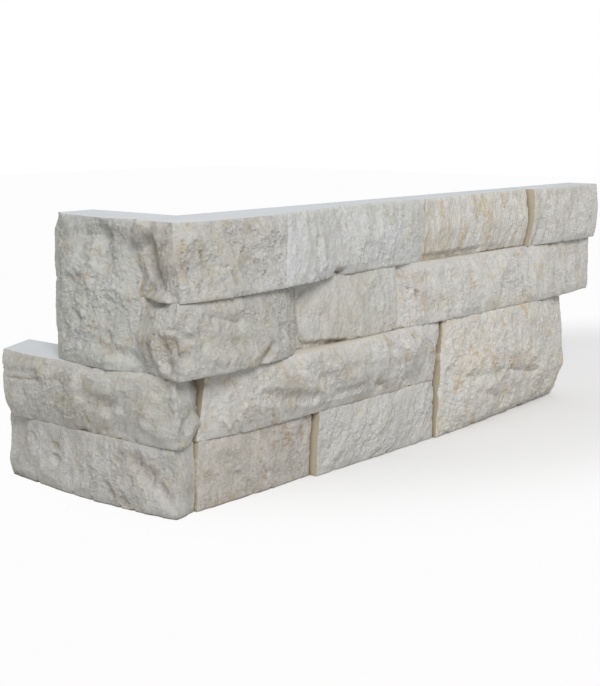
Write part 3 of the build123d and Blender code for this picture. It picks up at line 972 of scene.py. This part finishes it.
            ((68.4, 84.7), (75.9, 77.0), 2.5, 2.2, 'SHARP'),
            ((77.6, 76.8), (112.6, 74.3), 3, 2.0, 'SMOOTH'),
        ],
    },
    "third_end_strip": {
        "leg": "long",
        "face": [
            (0.0, 0, 0, (18.4, 21.8, 22.5, 22.3, 22, 21, 16)),
            (0.08, 0, 0, (18.7, 22.9, 23.6, 23.5, 23, 21.6, 18)),
            (0.5, 0, 0, (19.5, 24, 25, 24.8, 24.2, 22.5, 18.3)),
            (0.85, 0, 0, (17.8, 21.6, 22.6, 22.4, 22, 21, 18.2)),
            (1.0, 0, 0, (16.5, 18.8, 18.6, 18.1, 18.6, 18.9, 18)),
        ],
        "grain": {"seed": (2, 25, 39), "lean": -0.4, "stretch": 0.4},
        "relief": {"Waves": 5.8, "Scallops": 3.5, "Flakes": 2.2, "Grit": 1.9, "Chips": 1.4},
        "colours": {
            "face": (211, 209, 203), "drift": (205, 203, 198), "blotch": (202, 186, 156), "blotched": 0.52,
            "hollowDirtAndShade": (155, 142, 119), "crest": (229, 229, 229), "stain": (150, 130, 100),
        },
        "stains": [
            ((159.7, 106.9), (182.6, 105), 7, 0.55),
            ((176.5, 95.5), (176.3, 93.2), 3, 1),
            ((174.7, 91), (192.9, 88), 9, 0.5),
        ],
        "dents": [
            ((155.2, 90), (157.2, 75.0), 2.8, 3.2, 'SHARP'),
            ((162.6, 108.4), (178.5, 102.5), 8, 1.5, 'SMOOTH'),
            ((175.3, 95.9), (176.2, 92.3), 2.6, 5, 'SHARP'),
            ((167.7, 98.1), (175.2, 98.1), 2, 1.6, 'SHARP'),
            ((179.2, 96.5), (188.0, 82.3), 8, 1.6, 'SMOOTH'),
        ],
    },
    "top_corner_strip": {
        "leg": "long", "turn": ((0.5, 2), (0, 9)),
        "face": [
            (0.0, 4.2, 0, (33, 35.6, 36, 35.8, 35, 32.5)),
            (0.15, 4.2, 0, (33, 35.6, 36, 35.6, 34.7, 32.6)),
            (0.32, 3.8, 0, (32.6, 35, 35.6, 35, 34.2, 32.4)),
            (0.5, 1.4, 0, (32.4, 34.8, 35.3, 34.6, 34.1, 32.4)),
            (0.8, 1.3, 0, (32, 34.8, 35.4, 34.8, 34.3, 32.8)),
            (1.0, 2, 0, (31, 35.2, 35.8, 35.6, 35, 33)),
        ],
        "grain": {"seed": (3, 41, 12), "lean": -0.5, "stretch": 0.5},
        "relief": {"Waves": 5.8, "Scallops": 3.5, "Flakes": 2.1, "Grit": 1.8, "Chips": 1.2},
        "colours": {
            "face": (191, 188, 180), "drift": (192, 191, 186), "blotch": (178, 165, 134), "blotched": 0.67,
            "hollowDirtAndShade": (143, 131, 109), "crest": (212, 214, 210), "stain": (150, 130, 100),
            "paler": ((206, 206, 204), 8, 46),  # colour it turns to along the leg, and from where to where
        },
        "stains": [
            ((-33, 137), (-30, 128), 7, 0.6),
            ((-26.4, 149.2), (-26.2, 149), 1.6, 1),
            ((-20, 141), (-14, 124), 4, 0.5),
            ((0.7, 125), (2.5, 120), 3, 0.8),
        ],
        "dents": [
            ((-18.3, 135.8), (-16.0, 128.1), 2.5, 1.4, 'SHARP'),
            ((-25.7, 127.0), (-25.4, 117.6), 2.5, 1.4, 'SHARP'),
            ((0.7, 125.2), (2.5, 120.2), 2.5, 1.2, 'SHARP'),
            ((-19.4, 119.9), (-17.8, 117.5), 2.2, 1.2, 'SHARP'),
        ],
        "turnedDents": [
            ((-11, 136), (-13, 128), 9, 7.5, 'SMOOTH'),
            ((-17, 124), (-19, 121), 6, 2.0, 'SMOOTH'),
            ((-7, 149), (-1, 143), 8, -7, 'SMOOTH'),
            ((-24, 112.5), (-4, 112.5), 6, -3, 'SMOOTH'),
        ],
    },
    "top_middle_strip": {
        "leg": "long",
        "face": [
            (0.0, 0, 0, (32.5, 29.5, 20.6, 20.2, 19, 18.3)),
            (0.15, 0, 0, (32.5, 30.3, 23.2, 22, 21.2, 19.5)),
            (0.45, 0, 0, (32.6, 30.8, 24.2, 23.2, 22.8, 21.4)),
            (0.75, 0, 0, (32.8, 30.6, 23.5, 22.4, 23, 22.2)),
            (1.0, 0, 0, (33, 29, 20.9, 20.5, 22.3, 22.7)),
        ],
        "grain": {"seed": (15, 31, 3), "lean": -0.3, "stretch": 0.5},
        "relief": {"Waves": 4.6, "Scallops": 3, "Flakes": 1.8, "Grit": 1.4, "Chips": 1.2},
        "colours": {
            "face": (206, 207, 206), "drift": (200, 200, 196), "blotch": (191, 182, 166), "blotched": 0.42,
            "hollowDirtAndShade": (150, 136, 113), "crest": (228, 229, 230), "stain": (150, 130, 100),
        },
        "stains": [
            ((72.6, 134.5), (73.7, 130), 3, 1),
            ((101.5, 115), (104.2, 113.5), 3.5, 1),
            ((99.3, 142.3), (99.4, 137.5), 2.5, 0.8),
            ((107, 143), (106.2, 139), 2.5, 0.6),
        ],
        "dents": [
            ((74.2, 134.8), (74.2, 130.1), 3.4, 3.2, 'SHARP'),
            ((97.5, 114.6), (104.1, 113.6), 3.5, 4, 'SHARP'),
            ((70.4, 118.8), (79.3, 111.9), 2.5, 1.4, 'SHARP'),
            ((58.9, 143.0), (63.7, 132.4), 6, -1.2, 'SMOOTH'),
        ],
    },
    "top_far_strip": {
        "leg": "long",
        "face": [
            (0.0, 0, 1.6, (18.2, 17.2, 16.5, 15.8, 16.5)),
            (0.15, 0, 1.6, (19, 20, 20.3, 19.5, 18.5)),
            (0.5, 0, 1.6, (21.5, 23, 23.3, 22.5, 21.4)),
            (0.85, 0, 1.6, (22.2, 23, 22.7, 21.8, 20)),
            (1.0, 0, 1.6, (22.7, 22.4, 21.8, 20.8, 17.8)),
        ],
        "grain": {"seed": (28, 12, 30), "lean": -0.1, "stretch": 0.35},
        "relief": {"Waves": 4.6, "Scallops": 2.5, "Flakes": 2, "Grit": 1.9, "Chips": 1.2},
        "colours": {
            "face": (210, 209, 204), "drift": (202, 197, 182), "blotch": (186, 165, 127), "blotched": 0.67,
            "hollowDirtAndShade": (151, 133, 102), "crest": (228, 230, 230), "stain": (150, 130, 100),
        },
        "stains": [
            ((184, 146), (186, 118), 8, 0.55),
            ((199, 135), (199, 118), 5, 0.4),
            ((186, 115), (246, 114), 3, 0.5),
        ],
        "dents": [
            ((185.7, 114.1), (246.4, 114.8), 4, 1.6, 'SMOOTH'),
        ],
    },
    "top_end_strip": {
        "leg": "long",
        "face": [
            (0.0, 0, 0, (19.5, 21.5, 22.4, 21)),
            (0.12, 0, 0, (22.5, 24, 24.6, 23.4)),
            (0.5, 0, 0, (25, 26, 25.8, 24.2)),
            (0.85, 0, 0, (24.5, 25.8, 25.2, 23.4)),
            (1.0, 0, 0, (23, 25, 24.5, 22.5)),
        ],
        "grain": {"seed": (33, 2, 16), "lean": -0.2, "stretch": 0.4},
        "relief": {"Waves": 5.8, "Scallops": 3.2, "Flakes": 2.2, "Grit": 1.9, "Chips": 1.2},
        "colours": {
            "face": (209, 207, 203), "drift": (203, 201, 194), "blotch": (192, 180, 158), "blotched": 0.47,
            "hollowDirtAndShade": (156, 141, 119), "crest": (230, 230, 229), "stain": (150, 130, 100),
        },
        "stains": [
            ((307, 145), (309, 116), 4, 0.5),
        ],
        "dents": [],
    },
}


def reliefOn(sheet, group, stone):
    bpy.ops.object.modifier_add(type='NODES')
    change = sheet.modifiers[-1]
    change.node_group = group
    values = {name.title(): value for name, value in stone["grain"].items()}
    values.update(stone["relief"])
    for item in group.interface.items_tree:
        if item.in_out == 'INPUT' and item.name in values:
            change[item.identifier] = values[item.name]
    bpy.ops.object.modifier_apply(modifier=change.name)


def finishStone(sheet, split, sawn):
    sheet.data.materials.append(split)
    sheet.data.materials.append(sawn)
    areas = np.zeros(len(sheet.data.polygons), np.float32)
    sheet.data.polygons.foreach_get("area", areas)
    isSawn = areas > cutting["sawnArea"] * mm * mm
    sheet.data.polygons.foreach_set("material_index", isSawn.astype(np.int32))
    bpy.ops.object.shade_smooth_by_angle(angle=math.radians(cutting["smoothAngle"]))


def makeStone(node, stone, group, split, sawn):
    low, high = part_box(node)
    along, out = legs[stone["leg"]]["along"], legs[stone["leg"]]["out"]
    sheet = startSheet(node, stone, low, high, along, out)
    cutRough(sheet, stone, low, high, along)
    if "turn" in stone:
        drawReturn(sheet, stone, low, high, along, out)
    smoothFaces(sheet, out, cutting["roughSmooths"])
    cutEdges(sheet, np.ones(len(sheet.data.edges), bool), cutting["fineCuts"])
    smoothFaces(sheet, out, cutting["fineSmooths"])
    for place in stone["dents"]:
        dent(sheet, False, along, out, place)
    for place in stone.get("turnedDents", []):
        dent(sheet, True, out, along, place)
    markSheet(sheet, stone, low, high, along, out)
    reliefOn(sheet, group, stone)
    closeSides(sheet, stone, low, high, along, out)
    finishStone(sheet, split, sawn)
    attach(sheet, "root")
    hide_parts(node)
    return sheet


splitRelief = makeRelief()
print("relief group with", len(splitRelief.nodes), "nodes")
sawnPaleSkyLit = makeSawn("sawnPaleSkyLit")
sawnCream = makeSawn("sawnCream")
# the stones whose sawn tops are seen are pale there, with a bluish tint that is painted sky light
topStones = [node for node in stoneValues if node.startswith("top_")]
topStones += ["tall_return_block", "second_return_strip"]
for node, stone in stoneValues.items():
    sawn = sawnPaleSkyLit if node in topStones else sawnCream
    made = makeStone(node, stone, splitRelief, makeSplit(node, stone), sawn)
    print(node, "of", len(made.data.polygons), "faces")

# Paper floor, light and camera

studio = {
    "floorSize": 6,  # m, as every length here
    "lightPlace": (-1.31, -1.61, 1.50),
    "lightAim": (0.15, 0, 0.07),
    "lightSize": 1.0,
    "lightEnergy": 48,
    "skyLight": 0.58,
    "skySeen": 1.0,
    "cameraPlace": (-0.44785, -0.45497, 0.19980),
    "cameraLooks": (0.75377, 0.63324, -0.17560),
    "sensor": 36,  # mm
    "focal": 1293.2,  # in pixels of the photo
    "photoHeight": 686,
}


def aim(piece, direction):
    piece.rotation_euler = direction.to_track_quat('-Z', 'Y').to_euler()


bpy.ops.mesh.primitive_plane_add(size=studio["floorSize"], location=(0.2, 0, 0))
floor = bpy.context.object
floor.name = "floor"
floor.data.materials.append(makePaper())

bpy.ops.object.light_add(type='AREA', location=studio["lightPlace"])
softbox = bpy.context.object
softbox.data.shape = 'DISK'
softbox.data.size = studio["lightSize"]
softbox.data.energy = studio["lightEnergy"]
aim(softbox, Vector(studio["lightAim"]) - softbox.location)

world = bpy.data.worlds.new("studio")
bpy.context.scene.world = world
world.use_nodes = True
tree = world.node_tree
tree.nodes.clear()
path = tree.nodes.new("ShaderNodeLightPath").outputs
# white where the camera, a gloss or a clear thing sees it, and dimmer as a light
seen = calc(tree, 'MAXIMUM', path["Is Glossy Ray"], path["Is Transmission Ray"])
seen = calc(tree, 'MAXIMUM', path["Is Camera Ray"], seen)
skyLight = addNode(tree, "ShaderNodeBackground", {"Color": (1, 1, 1, 1), "Strength": studio["skyLight"]})
skySeen = addNode(tree, "ShaderNodeBackground", {"Color": (1, 1, 1, 1), "Strength": studio["skySeen"]})
mixed = addNode(tree, "ShaderNodeMixShader", {0: seen, 1: skyLight.outputs[0], 2: skySeen.outputs[0]})
addNode(tree, "ShaderNodeOutputWorld", {"Surface": mixed.outputs[0]})

bpy.ops.object.camera_add(location=studio["cameraPlace"])
camera = bpy.context.object
aim(camera, Vector(studio["cameraLooks"]))
camera.data.sensor_width = studio["sensor"]
camera.data.lens = studio["sensor"] * studio["focal"] / studio["photoHeight"]
camera.data.clip_start = 0.01
bpy.context.scene.camera = camera
bpy.context.scene.view_settings.view_transform = 'Standard'
print("paper, light and camera are in place")
